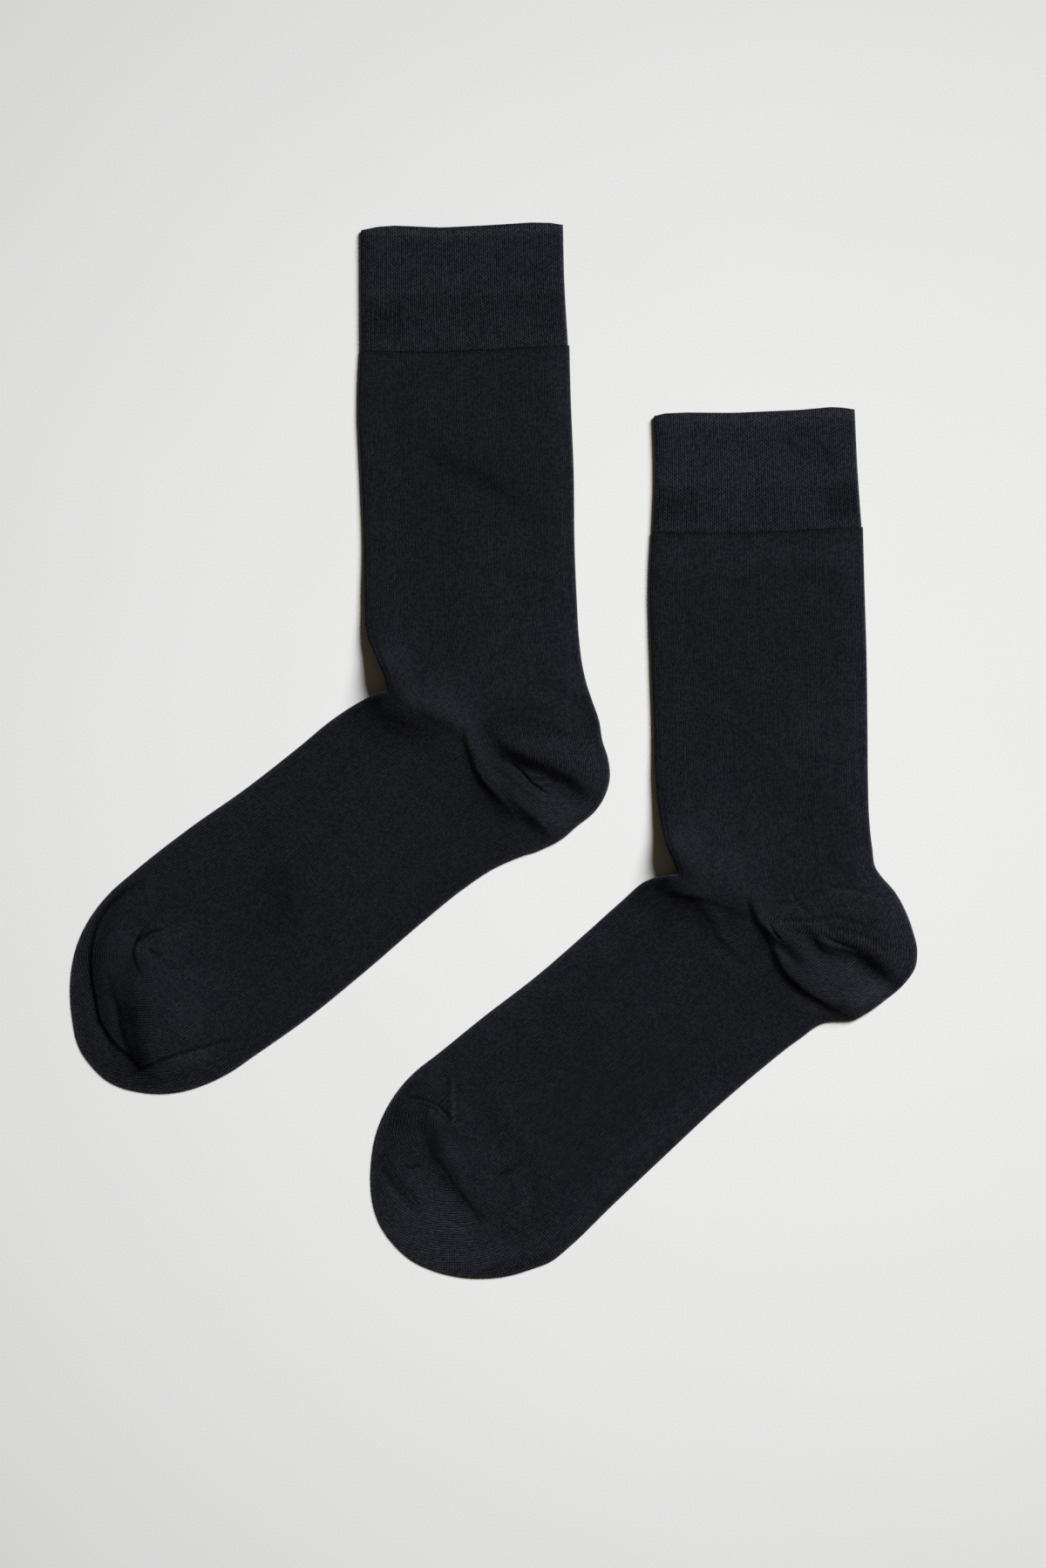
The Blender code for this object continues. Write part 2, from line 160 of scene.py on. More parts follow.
SOCK_A = Sock(
    name="sock_a",
    gusset=(33.4, -21.7),
    cuff=sections(
        (201.3, -11, 77, 2.3),
        (176, -10.9, 77.6, 2),
        (148.2, -10.8, 79.2, 2.4, 0.01),
    ),
    wave=((-11, -0.9), (-4, 0.4), (3, 0.7), (24, -0.7), (45, -0.2), (64, 0.5), (72, 0.1), (77, -0.9)),
    leg=sections(
        (148.2, -11.2, 79.8, 2.4, 0.01),
        (126, -12, 80.4, 1.5, 0.01),
        (94, -10.8, 81.7, 0.5, 0.02),
        (62, -9.5, 82.1, 0, 0.04),
        (40, -9.4, 83, 0, 0.08),
        (24, -8.2, 83.9, 0, 0.16),
        (12, -3.3, 85.4, -0.5, 0.35),
        (4, -0.2, 87.6, -2, 0.7),
        (0, 0, 89.8, -4.5, 1),
    ),
    heel=((8, 60), (0, 60.8), (-7, 63.7), (-14, 66), (-21, 66.5), (-28, 65.4), (-36, 62.4), (-44, 60.9)),
    foot=sections(
        (0, 0, 95.9, -16.4, 1),
        (2, -0.7, 95.3, -15.4, 0.87),
        (6, -1.8, 93.2, -13, 0.6),
        (14, -3, 90.3, -8, 0.3),
        (26, -3.6, 89.6, -3, 0.12),
        (45, -2.5, 90.8, 0, 0.04),
        (75, -1.4, 93.5, 2),
        (105, -1.8, 95.4, 4),
        (136, -0.6, 95.1, 4),
    ),
    toe=sections(
        (150, 0.8, 94.8, 2),
        (162, 4.2, 93.2),
        (173, 10, 89.8),
        (183, 18.8, 84.2),
        (190, 27.8, 78),
        (195, 36.5, 72),
        (198.3, 43.5, 65.5),
        (199.7, 49, 58),
        (200, 53.4, 53.6),
    ),
    toe_centre=(-105.5, -115),
    lifts=(
        Swell(22, 2, 42, 3),
        Swell(-1, 8, 15, 2.6),
        # the ankle's crest, which falls to the foot
        fold(2.8, 14, 10, 1, (-8, 19), (-4, 8), (1, -1), (8, -6.5), (22, -11.5), (40, -22)),
        fold(1.3, 6.5, 7, 1, (2, -4), (12, -8), (22, -11), (29, -14.5), (38, -22)),
        fold(0.55, 5, 3.6, 1, (-1, 6), (4, 0), (12, -5.5), (22, -9.5), (29, -13.5), (35, -20), (36, -28)),
    ),
    swells=(
        Swell(0, 8, 9, 0.5),
        Swell(78, -24, 26, 0.9),
        Swell(60, -36, 26, 1.6),
        Swell(-112, -130, 44, -1.3),
        Swell(-86, -138, 26, 1),
    ),
    folds=(
        # the line rolled along the leg's front edge
        even(-0.12, 0.6, 0.6, (-5.8, 26), (-4.4, 21.3), (-2.7, 15.2), (-0.4, 10.3), (1.3, 5.5), (1.9, 1.1)),
        # the fold that runs from the gusset down to the sole, steep on the foot's side
        fold(1.3, 7, 2.1, 0.7, (34.5, -14), (36.2, -22), (38.5, -29.5), (41.8, -37), (46.5, -43), (52, -49),
             (58, -57)),
        fold(1.5, 7, 3.2, 1, (50, -36), (59, -49), (63.5, -53.5), (68.5, -58), (72.5, -63), (77, -71)),
        # the heel's valley behind it with its steep upper side, its narrow crease and two small fins
        fold(1.3, 15, 4.6, 0.8, (46, -14), (52, -22), (61, -27), (70, -31), (79, -35.5), (86, -41),
             (92, -49)),
        fold(-1.1, 5, 7, 0.8, (40, -14), (44, -22), (49.5, -29.5), (56, -33.5), (64, -36.5)),
        fold(-1.7, 6, 8, 0.8, (48, -27), (54, -32), (61, -35.5), (70, -39), (78, -43), (85, -48),
             (93, -55)),
        even(-0.45, 0.6, 0.6, *HEEL_CREASE),
        fold(0.3, 1, 0.8, 0.6, (60.5, -37), (65, -37.6), (70, -38)),
        fold(0.3, 1, 0.8, 0.6, (62.5, -40.2), (67, -40.6), (72.5, -40.6)),
        # faint arcs over the heel
        even(-0.3, 2, 0.6, (57, -9), (64, -8.8), (70, -9)),
        even(0.25, 1.8, 0.6, (58, -10.5), (70, -13.5), (82, -20)),
        even(-0.6, 5, 1, (76, -6), (84, -9), (92, -16)),
        # the toe's rim, the swollen middle and the valley between them
        fold(0.85, 13, 1.2, 0.6, (-104, -82), (-113.5, -87.5), (-120, -94), (-124.8, -101.5), (-127, -109),
             (-127.8, -117), (-127.4, -125), (-125.6, -135), (-124, -143), (-121, -148.5), (-117.5, -153),
             (-111, -159), (-105, -165)),
        fold(3.4, 26, 7, 1, (-112, -104), (-110, -116), (-108.5, -126), (-106.5, -140), (-103.5, -154),
             (-98, -172)),
        fold(0.6, 6, 2, 0.8, (-120, -121), (-117, -132), (-114.6, -140), (-113.5, -147), (-110.5, -156),
             (-105, -166)),
        # the edge of the flap at the sole, and the hollow that it ends in
        fold(-0.45, 0.7, 1.2, 0.6, (-115, -169), (-108, -165.5), (-100, -162), (-92, -159), (-84, -156.5),
             (-75, -154), (-64, -150.5)),
        even(-0.5, 3, 0.6, (-61, -149), (-67, -156), (-75, -166)),
        # the toe's small C, its branch and its dimple
        even(-0.35, 0.5, 0.6, *CURL),
        even(-0.3, 0.5, 0.6, *CURL_BRANCH),
        even(-0.2, 0.5, 0.6, (-108, -108), (-107.2, -112), (-107.6, -117)),
        even(-0.3, 0.9, 0.6, *DIMPLE),
        # soft shade across the leg and the foot
        even(-0.5, 9, 1, (-8, 125), (21.5, 100), (44.5, 88.5), (72, 75)),
        even(-0.5, 8, 1, (-56.5, -60), (-47.5, -90), (-42, -117)),
    ),
    underfolds=(
        fold(0.4, 2, 3, 0.6, (38, -14), (50, -30), (66, -58)),
        fold(0.5, 1.6, 2.4, 0.6, (6, 10), (14, -8), (34, -26)),
        fold(0.4, 3, 2, 0.6, (-118, -98), (-112, -122), (-100, -150)),
        fold(0.3, 5, 6, 1, (2, 112), (30, 92), (60, 84)),
    ),
    # painted light and shade: darker where shade falls in creases and hollows, lighter on slopes that face
    # the key light
    tones=(
        # the toe: its rim, its swollen middle and the valley between them
        fold(-0.65, 1.1, 1, 0.6, (-104, -81), (-115, -88), (-121, -94), (-125.5, -101), (-128, -109),
             (-129, -117), (-128.8, -125), (-127, -135), (-125.5, -143), (-122.5, -149), (-119, -154),
             (-112, -160), (-106, -166)),
        fold(-0.3, 2.4, 1.2, 0.8, (-103, -80), (-111, -85.5), (-118, -90.5), (-124, -98)),
        fold(-0.28, 6, 2, 1, (-114, -126), (-111, -142), (-107, -162), (-104, -172)),
        fold(-0.42, 4.5, 0.8, 0.8, (-122, -122), (-119, -132), (-116.5, -140), (-115.5, -147),
             (-112.5, -157), (-107, -167)),
        Swell(-107, -162, 7, -0.25),
        Swell(-100, -112, 24, 0.04),
        fold(-0.45, 4, 1.5, 0.6, (-116, -92), (-122.5, -104), (-126.5, -117), (-125, -134), (-121, -151),
             (-115.5, -168)),
        even(0.25, 3, 1, (-114, -106), (-115, -122), (-112, -140)),
        even(-0.2, 3, 1, (-108, -128), (-105.5, -142), (-103, -156)),
        Swell(-88, -148, 16, 0.16),
        # the flap at the sole, the small C, its branch and its dimple
        even(0.35, 4.5, 1, (-102, -166), (-88, -161), (-70, -156)),
        even(-0.8, 0.9, 0.5, *CURL_BRANCH),
        fold(-0.5, 1.2, 1, 0.6, *DIMPLE),
        fold(-0.55, 0.8, 1, 0.5, (-114, -169), (-108, -165.5), (-100, -162), (-92, -159), (-84, -156.5),
             (-75, -154), (-64, -150.5)),
        even(-0.8, 0.9, 0.6, *CURL),
        # the fold that runs from the gusset down to the sole
        fold(-0.45, 1, 1.1, 0.5, (34, -19), (35, -25), (37, -32), (40, -39), (46, -47), (54, -58)),
        fold(-0.2, 1.8, 1.5, 0.8, (54, -50.5), (60, -56.5), (64, -60), (67, -64), (71, -69.5)),
        # the heel: darker above its valley and in it, lighter on its steep side and along the bottom
        even(-0.3, 7.5, 0.6, (40, -11), (55, -13), (75, -15), (93, -16)),
        even(-0.35, 7, 0.8, (88, 4), (93, -14), (91, -34)),
        fold(-0.3, 3, 4, 0.8, (41, -24), (48, -32), (55, -38), (64, -42.5), (72, -46)),
        even(0.12, 2.5, 0.8, (47, -17), (58, -24), (74, -32), (90, -44)),
        fold(-0.25, 1, 3.5, 0.8, (36, -36), (40, -42), (46, -49), (53, -58)),
        fold(0.3, 3.5, 1, 0.8, (38, -30), (42, -38), (50, -46), (62, -55), (74, -61)),
        even(-0.45, 0.8, 0.6, *HEEL_CREASE),
        *stripes(-0.3, 0.5, 7, ((38.5, -29), (47, -43), (62, -57)), ((49, -33), (60, -43), (75, -53))),
        even(0.3, 6, 0.8, (93, -42), (86, -50), (76, -57), (62, -63)),
        # the ankle's crest on the foot's side, its corner and the line along the leg's front edge
        fold(0.85, 4.5, 5.5, 0.7, (-4, -4), (10, -11.5), (22, -17.5), (35, -24)),
        Swell(-3, -8, 7, -0.15),
        even(-0.3, 0.7, 0.6, (-6.5, 32), (-4.4, 21.3), (-2.7, 15.2), (-0.4, 10.3), (1.3, 5.5), (1.9, 1.1)),
        # the cuff: light along its top edge, darker from the end of its hem on
        fold(0.5, 2, 2.5, 0.1, (-12, 200.8), (33, 199.6), (78, 203)),
        fold(-0.15, 1, 16, 0.1, (-12, 171.5), (33, 171), (79, 172.5)),
        fold(-0.28, 0.5, 1.6, 0.1, (-12, 147.6), (34, 148.4), (81, 150.2)),
        even(-0.14, 10, 0.2, (74, 200), (74, 150)),
        *stripes(-0.4, 0.5, 8, ((-8.5, 170), (-9, 152)), ((6, 170), (5.5, 152))),
        # the leg
        even(-0.15, 14, 0.8, (17, 108), (20, 70), (24, 35), (28, 12)),
        even(-0.12, 10, 1, (-10, 128), (21.5, 100), (44.5, 88.5), (78, 72)),
        fold(-0.2, 3, 3.5, 1, (18, 104), (40, 93), (56, 83), (70, 71)),
        Swell(18, 10, 18, -0.18),
        # the foot
        Swell(-55, -98, 26, -0.14),
        even(0.08, 14, 0.8, (-50, -110), (-10, -78), (30, -42)),
        Swell(2, -38, 20, 0.12),
        even(0.3, 5, 0.8, (82, -58), (62, -70), (44, -82)),
        even(-0.14, 9, 1, (-58, -55), (-47.5, -90), (-42, -125)),
    ),
)

SOCK_B = Sock(
    name="sock_b",
    gusset=(34.6, -17.9),
    cuff=sections(
        (199.9, -9.6, 78, 3),
        (174, -8.9, 79.2, 2.4),
        (149, -9.8, 81, 2.2, 0.01),
    ),
    wave=((-9.6, -0.8), (-5, 0.2), (4, 0.3), (25, -0.6), (54, -0.3), (68, 0.5), (73, 0.1), (78, -0.9)),
    leg=sections(
        (149, -10.3, 81.6, 2.2, 0.01),
        (126, -11.3, 82.2, 1.5, 0.01),
        (94, -10.6, 83.2, 0.5, 0.02),
        (62, -9.4, 83.6, 0, 0.04),
        (40, -8.8, 83.8, 0, 0.08),
        (24, -6.9, 84.3, 0, 0.16),
        (12, -4.2, 85.6, -0.5, 0.35),
        (4, -0.8, 87.4, -2, 0.7),
        (0, 0, 88.9, -0.2, 1),
    ),
    heel=((9, 61.9), (1, 65.8), (-6, 69.2), (-12, 72.2), (-18, 73.5), (-25, 71.6), (-33, 67.9),
         (-40.5, 65)),
    foot=sections(
        (0, 0, 96.3, -24.6, 1),
        (1.6, -0.9, 94.5, -23.4, 0.87),
        (5, -2.7, 90.8, -21, 0.6),
        (12, -5.1, 89.9, -14, 0.3),
        (26, -4.2, 90.8, -6, 0.12),
        (45, -2.2, 92.8, -1, 0.04),
        (75, 0.5, 96.8, 1),
        (105, 1.4, 100.9, 2),
        (131, 2.8, 104.6, 2),
    ),
    toe=sections(
        (142, 3.2, 105.1),
        (152, 5.1, 102.6),
        (162, 9, 99),
        (172, 15.2, 93.2),
        (181, 24, 85.4),
        (187.5, 32.6, 77.2),
        (191.8, 40.8, 69.2),
        (193.9, 48, 60.6),
        (194.4, 54.2, 54.4),
    ),
    toe_centre=(-97.5, -108.5),
    lifts=(
        Swell(22, 4, 42, 3),
        Swell(-1, 8, 15, 2.6),
        # the ankle's crest, which falls to the foot
        fold(2.6, 15, 9.5, 1, (-8, 19), (-4, 8), (1, -0.5), (12, -6.5), (22, -9.5), (40, -16)),
    ),
    swells=(
        Swell(0, 8, 9, 0.5),
        Swell(84, -20, 26, 0.9),
        Swell(74, -50, 22, 1.8),
        Swell(-106, -132, 46, -1.3),
        Swell(-92, -118, 24, 1.2),
    ),
    folds=(
        # the groove at the foot of the ankle's crest, its branch, and the line rolled along the front edge
        fold(-0.3, 1.8, 4, 0.6, (-14, -3), (-6, -8), (0, -10.6), (8, -11.8), (15, -13), (22, -16),
             (33, -21.5)),
        fold(-0.6, 2.4, 3, 0.6, (3, -10.5), (10, -17), (14, -23), (18, -30), (24, -36), (33, -42)),
        even(-0.12, 0.6, 0.6, (-6, 37), (-5, 30), (-4.5, 22), (-2.5, 13), (0.5, 6), (1.5, 0)),
        # the fold that runs from the gusset down to the sole, steep on the foot's side
        fold(1.2, 5, 1.9, 0.6, (32.5, -8), (34.5, -15), (37, -20.5), (41, -25), (43.5, -29), (44, -34),
             (46, -39), (50, -44.5), (57, -50.5), (64, -55), (72, -59.5), (82, -64)),
        fold(0.9, 9, 6, 1, (48, -38), (58, -46), (68, -51.5), (80, -58), (92, -64)),
        # the pocket in its side, with the fin below it
        fold(-1.1, 2.6, 2, 0.6, (40.5, -25.5), (44, -30), (48, -33.8), (51, -37), (55, -40.5)),
        even(-0.4, 0.7, 0.6, (40, -20), (42.5, -25.5), (46.5, -30)),
        even(0.2, 1.3, 0.6, (42.5, -31), (45, -36), (48.5, -40.5)),
        # the heel's valley, the lens inside it and the fine wrinkles above
        fold(-0.9, 2.2, 5, 1, (53, -22), (58, -27.5), (62, -33.5), (69, -36.5), (77, -37)),
        fold(-2.2, 4.8, 8, 0.8, (66, -31), (77, -37), (84, -42), (91, -48), (101, -56)),
        fold(0.35, 1.6, 1.3, 0.6, (61, -28), (67, -31), (76, -33.5)),
        even(-0.35, 0.8, 0.6, *HEEL_WRINKLE),
        even(-0.3, 1, 0.6, (49, -6), (53, -13), (59, -19)),
        even(-0.3, 1.2, 0.6, (41, -12.5), (46, -13.2), (52, -12.8)),
        even(-0.4, 1.4, 0.6, (45, -20), (58, -21), (70, -19.5), (82, -22.5)),
        even(-0.3, 1.6, 0.6, (66, -24), (78, -26), (92, -34)),
        even(-0.35, 1.4, 0.6, (64, -5.5), (76, -7.2), (92, -10.5)),
        # the toe's linked seam, the ridge that runs down to it and the shade beside that
        even(-0.35, 0.7, 0.6, (-124, -96), (-115, -97.8), (-109, -99), (-103.5, -101.5), (-100.3, -104.5),
             (-97.5, -109.5)),
        even(-0.3, 0.6, 0.6, (-119, -100.5), (-110, -101), (-104.5, -104), (-101, -108.5)),
        fold(0.35, 1.2, 1.6, 0.6, (-98.3, -86), (-98, -98.5), (-98.2, -111.5)),
        fold(-0.5, 3.4, 8, 1, (-101.5, -84), (-100, -93), (-100, -100), (-99, -108)),
        # the toe's long groove with its shaded head, and the smaller creases
        fold(-0.7, 2.8, 6, 1, (-113, -100), (-109.5, -108), (-107, -116), (-104, -124)),
        fold(-1.6, 4, 7, 1, (-111, -115), (-108.5, -122), (-105, -129), (-101, -136), (-97, -142),
             (-91, -148.5), (-82, -155)),
        fold(-0.8, 2.2, 2.6, 0.6, (-127.5, -121), (-126, -129), (-123, -134.5), (-118, -140.5),
             (-111, -149)),
        even(-0.2, 0.5, 0.6, (-120, -128), (-115, -127.5), (-110.5, -126)),
        fold(-0.35, 1.8, 1.2, 0.6, (-81, -132.5), (-72.5, -130), (-67.5, -123.5)),
        fold(0.5, 9, 3.5, 1, (-92, -91), (-81, -102), (-74, -113), (-67, -124), (-59, -138), (-56, -152)),
        # soft shade across the leg and the foot
        even(-0.4, 6, 1, (5, 135), (40, 127.5), (74, 126)),
        even(-0.5, 9, 1, (5, 88), (36, 65.5), (70, 36)),
    ),
    underfolds=(
        fold(0.4, 2, 3, 0.6, (40, -10), (54, -30), (72, -54)),
        fold(0.5, 1.6, 2.4, 0.6, (8, 12), (16, -6), (36, -24)),
        fold(0.4, 3, 2, 0.6, (-112, -92), (-106, -116), (-92, -146)),
        fold(0.3, 5, 6, 1, (4, 108), (34, 96), (62, 80)),
    ),
    # painted light and shade: darker where shade falls in creases and hollows, lighter on slopes that face
    # the key light
    tones=(
        # the toe: its linked seam with the wales that stand apart beside it
        fold(-0.5, 0.8, 1.6, 0.6, (-122, -97), (-110, -98.5), (-104, -101), (-100, -104), (-98, -109)),
        Swell(-106, -95, 14, 0.25),
        *stripes(-0.48, 0.5, 11, ((-119, -95.8), (-112.5, -88.5)), ((-102.6, -99.6), (-98, -94))),
        *stripes(-0.48, 0.5, 11, ((-120.5, -98.8), (-123.8, -105), (-125.6, -113)),
             ((-107, -100.5), (-109, -106), (-109.3, -114))),
        *stripes(-0.55, 0.5, 5, ((-103.8, -101.2), (-101.5, -98.6)), ((-99.6, -108), (-97.5, -105.4))),
        even(0.35, 0.9, 0.6, (-97.3, -88), (-96.9, -99), (-96.6, -111)),
        # its long groove and the smaller creases
        even(-0.4, 2.5, 0.8, (-111, -107), (-107, -118), (-103, -127)),
        even(0.4, 3.5, 0.8, (-106, -102), (-100.5, -113), (-96, -122), (-90, -131)),
        fold(-0.6, 1.8, 2.4, 0.7, (-108, -120), (-102.5, -130), (-97.5, -136.5), (-93.5, -140.5),
             (-88, -147), (-82, -151.5)),
        Swell(-104, -160, 32, 0.38),
        Swell(-82, -122, 18, 0.15),
        even(-0.28, 3, 0.8, (-87, -92), (-74, -110), (-61, -131), (-54, -143)),
        fold(0.4, 4, 3, 0.8, (-76, -112), (-69, -128), (-65, -142), (-64, -152)),
        even(0.25, 5, 0.4, (-124, -152), (-104, -166), (-80, -168), (-54, -160), (-34, -146)),
        fold(-0.52, 1.4, 1.8, 0.6, (-127.5, -121), (-126, -129), (-123, -134.5), (-118, -140.5),
             (-112, -148)),
        even(-0.75, 0.9, 0.6, (-119, -128.3), (-115, -127.8), (-111, -127)),
        fold(-0.55, 2, 1.6, 0.8, (-80, -132.5), (-72.5, -129), (-67.5, -122.5)),
        # the fold that runs from the gusset down to the sole, with its pocket
        even(-0.45, 1.5, 0.6, (31.5, -8.5), (33, -17), (35, -22), (38.5, -26.5), (42.5, -32.5)),
        fold(-0.42, 1.2, 1.3, 0.5, (32, -10.5), (33, -17), (35, -22), (38.5, -26.5), (41, -31), (42, -37),
             (46, -44.5), (54, -52), (64, -58)),
        fold(-0.55, 2.6, 1.8, 0.8, (39.5, -24.5), (44, -30.5), (48, -33.5), (51, -37), (55.5, -41.5)),
        # the heel: its valley and pocket darker, the valley's steep side and the bottom lighter
        fold(-0.5, 2.4, 3, 0.8, (54, -22), (58, -28), (62.5, -32.5), (70, -35), (78, -35.5)),
        even(-0.3, 0.8, 0.6, *HEEL_WRINKLE),
        fold(-0.52, 5, 3.6, 0.8, (72, -32), (80, -36), (86, -40.5), (92, -45), (100, -52)),
        Swell(39, -30, 4, -0.3),
        even(0.22, 2.5, 0.8, (48, -24), (62, -32), (80, -38)),
        even(-0.15, 3.5, 0.8, (64, -20), (76, -21.5), (88, -24)),
        even(0.45, 3, 0.8, (50, -50), (60, -57), (70, -61.5), (82, -65)),
        even(0.6, 6, 0.6, (97, -34), (92, -48), (78, -57), (52, -54)),
        # the ankle's groove, its branch and its crest, and the line along the leg's front edge
        fold(-0.4, 1.6, 1.8, 0.8, (-11, -3), (-6, -7.5), (0, -10), (8, -11), (15, -12.5), (22, -15.5),
             (31, -20.5)),
        even(-0.42, 2, 0.8, (1.5, -11), (7.5, -17), (11.5, -23), (15.5, -30), (22, -37)),
        even(0.5, 3.5, 0.7, (-6, -1), (6, -7), (14, -12), (22, -18)),
        even(0.25, 3, 0.8, (14, -17), (21, -27), (31, -38)),
        even(-0.3, 0.7, 0.6, (-6, 40), (-5, 30), (-4.5, 22), (-2.5, 13), (0.5, 6), (1.5, 0)),
        # the cuff: light along its top edge and lighter down to the end of its hem
        fold(0.5, 2, 4.5, 0.1, (-10, 199.4), (34, 199.6), (79, 202.4)),
        fold(0.17, 22, 0.8, 0.1, (-10, 170), (34, 169.5), (80, 171.5)),
        fold(-0.3, 0.5, 1.4, 0.1, (-11, 148.6), (34, 149), (82, 150.8)),
        even(-0.16, 10, 0.2, (75, 199), (76, 151)),
        fold(-0.24, 1.2, 1.6, 1, (42, 195), (54, 193), (62, 188), (68, 180), (72, 171)),
        fold(-0.22, 1.2, 1.6, 1, (40, 189), (50, 188), (57, 183), (63, 174)),
        *stripes(-0.42, 0.5, 9, ((-7, 169), (-8, 152)), ((9, 168), (8.5, 153))),
        *stripes(-0.4, 0.5, 7, ((67, 170), (68, 154)), ((78, 171), (79.5, 154))),
        # the leg, lighter under the cuff, with its short shade
        even(0.2, 9, 0.3, (-9, 139), (35, 137), (80, 139)),
        even(-0.3, 2.5, 1, (8, 131), (31, 126), (52, 121.5)),
        even(-0.18, 2.5, 0.8, (10, 84), (27, 72), (45, 58), (62, 42)),
        Swell(62, 60, 22, 0.16),
        fold(-0.2, 2.5, 16, 0.8, (8, 80), (35, 58), (60, 38), (84, 20)),
        # the foot, lighter along both sides
        Swell(-6, -50, 26, 0.14),
        even(0.24, 8, 0.3, (62, -58), (25, -90), (-18, -124), (-52, -158)),
        even(0.2, 8, 0.3, (-10, -14), (-60, -46), (-94, -78)),
        even(-0.14, 5, 1, (-44, -58), (-39, -76), (-36, -96)),
    ),
)


# ---------------------------------------------------------------- the cloth's form


def direction(bearing):
    return np.array([math.cos(bearing), math.sin(bearing)])


# axis and side are the directions that along and across are counted in
Lie = namedtuple("Lie", "axis side mitre")


def leg_lie(sock):
    return Lie(np.array([0.0, 1.0]), np.array([1.0, 0.0]), sock.leg[-1])


def foot_lie(sock):
    return Lie(direction(FOOT_BEARING), direction(FOOT_BEARING + math.radians(90)), sock.foot[0])


def section_line(sock, section, lie):
    """A section's front edge, its point on the gusset's line and its back edge, in plan."""
    front = lie.axis * section.along + lie.side * section.front
    back = lie.axis * (section.along + section.slant) + lie.side * section.back
    share = np.dot(sock.gusset, lie.side) / lie.mitre.back
    straight = front + share * (back - front)
    return front, straight + section.pull * (np.array(sock.gusset) - straight), back


def section_lines(sock, rows, lie):
    """The same for several sections: three arrays of plan points."""
    return [np.array(points) for points in zip(*(section_line(sock, row, lie) for row in rows))]


def smooth_curve(points, index):
    """A smooth curve through points, read at fractional indices into them."""
    steps = np.maximum(np.linalg.norm(np.diff(points, axis=0), axis=1), 1e-6)[:, None]
    slopes = np.diff(points, axis=0) / steps
    inner = (slopes[:-1] * steps[1:] + slopes[1:] * steps[:-1]) / (steps[:-1] + steps[1:])
    slopes = np.vstack([slopes[:1], inner, slopes[-1:]])
    before = np.clip(index.astype(int), 0, len(points) - 2)
    s = (index - before)[:, None]
    bend = s * (1 - s) ** 2 * slopes[before] - s**2 * (1 - s) * slopes[before + 1]
    blend = s**2 * (3 - 2 * s)
    return (1 - blend) * points[before] + blend * points[before + 1] + steps[before] * bend


def indices_between(curves, first, last, pitch):
    """Fractional indices from first to last, between which no curve moves by more than pitch."""
    found = []
    for k in range(first, last):
        travel = max(np.linalg.norm(curve[k + 1] - curve[k]) for curve in curves)
        count = max(1, math.ceil(travel / pitch))
        found.extend(k + np.arange(count) / count)
    return np.array(found + [float(last)])


Edges = namedtuple("Edges", "front middle back")


def tube_edges(sock):
    """Smooth rows of front edge, gusset line and back edge for each stretch of a sock."""
    leg_front, leg_middle, leg_back = section_lines(sock, sock.leg, leg_lie(sock))
    lower_rows = sock.foot + sock.toe
    foot_front, foot_middle, foot_back = section_lines(sock, lower_rows, foot_lie(sock))
    gusset = np.array(sock.gusset)
    rays = [gusset + direction(math.radians(bearing)) * reach for bearing, reach in sock.heel]
    front = np.vstack([leg_front, foot_front[1:]])
    middle = np.vstack([leg_middle, foot_middle[1:]])
    back = np.vstack([leg_back, rays, foot_back])
    ankle = len(sock.leg) - 1
    toes = ankle + len(sock.foot) - 1
    tip = ankle + len(lower_rows) - 1
    behind = len(sock.heel) + 1  # how many more rows the back has, past the heel

    def rows(first, last, pitch):
        shift = behind if first >= ankle else 0
        index = indices_between([front, middle, back[shift : shift + len(front)]], first, last, pitch)
        lines = (front, index), (middle, index), (back, index + shift)
        return Edges(*(smooth_curve(*line) for line in lines))

    heel_back = smooth_curve(back, indices_between([back], ankle, ankle + behind, FINE_PITCH))
    centre = np.tile(gusset, (len(heel_back), 1))
    cuff = section_lines(sock, sock.cuff, leg_lie(sock))
    cuff_index = indices_between(cuff, 0, len(sock.cuff) - 1, FINE_PITCH)
    return {
        "cuff": Edges(*(smooth_curve(curve, cuff_index) for curve in cuff)),
        "leg": rows(0, ankle, WIDE_PITCH),
        "heel": Edges(centre, centre, heel_back),
        "foot": rows(ankle, toes, WIDE_PITCH),
        "toe": rows(toes, tip, FINE_PITCH),
    }


def route_points(route):
    """Points along a fold's smooth route, the directions there, their shares of its length, and that."""
    route = np.array(route, float)
    rough = smooth_curve(route, np.linspace(0, len(route) - 1, ROUGH_POINTS * len(route)))
    length = np.concatenate([[0], np.cumsum(np.linalg.norm(np.diff(rough, axis=0), axis=1))])
    share = np.linspace(0, 1, max(4, round(length[-1] / ROUTE_PITCH)))
    points = np.column_stack([np.interp(share * length[-1], length, rough[:, axis]) for axis in (0, 1)])
    heading = np.gradient(points, axis=0)
    return points, heading / np.linalg.norm(heading, axis=1)[:, None], share, length[-1]


def fold_rise(shape, plan):
    """How much a fold raises each plan point."""
    points, heading, share, length = route_points(shape.route)
    reach = FADED * max(shape.left, shape.right)
    near = np.all((plan > points.min(axis=0) - reach) & (plan < points.max(axis=0) + reach), axis=1)
    rise = np.zeros(len(plan))
    for some in np.array_split(np.flatnonzero(near), max(1, near.sum() // AT_ONCE)):
        offset = plan[some, None, :] - points[None, :, :]
        nearest = (offset**2).sum(axis=2).argmin(axis=1)
        off, ahead = offset[np.arange(len(some)), nearest], heading[nearest]
        beside = ahead[:, 0] * off[:, 1] - ahead[:, 1] * off[:, 0]
        beyond = (off * ahead).sum(axis=1)
        inner = (nearest > 0) & (nearest < len(points) - 1)
        away = np.where(inner, np.abs(beside), np.hypot(beside, beyond))
        place = np.clip(share[nearest] + np.clip(beyond / length, -share[1], share[1]), 0, 1)
        width = np.where(beside > 0, shape.left, shape.right)
        rise[some] = shape.rise * np.sin(np.pi * place) ** shape.fade * np.exp(-((away / width) ** 2))
    return rise


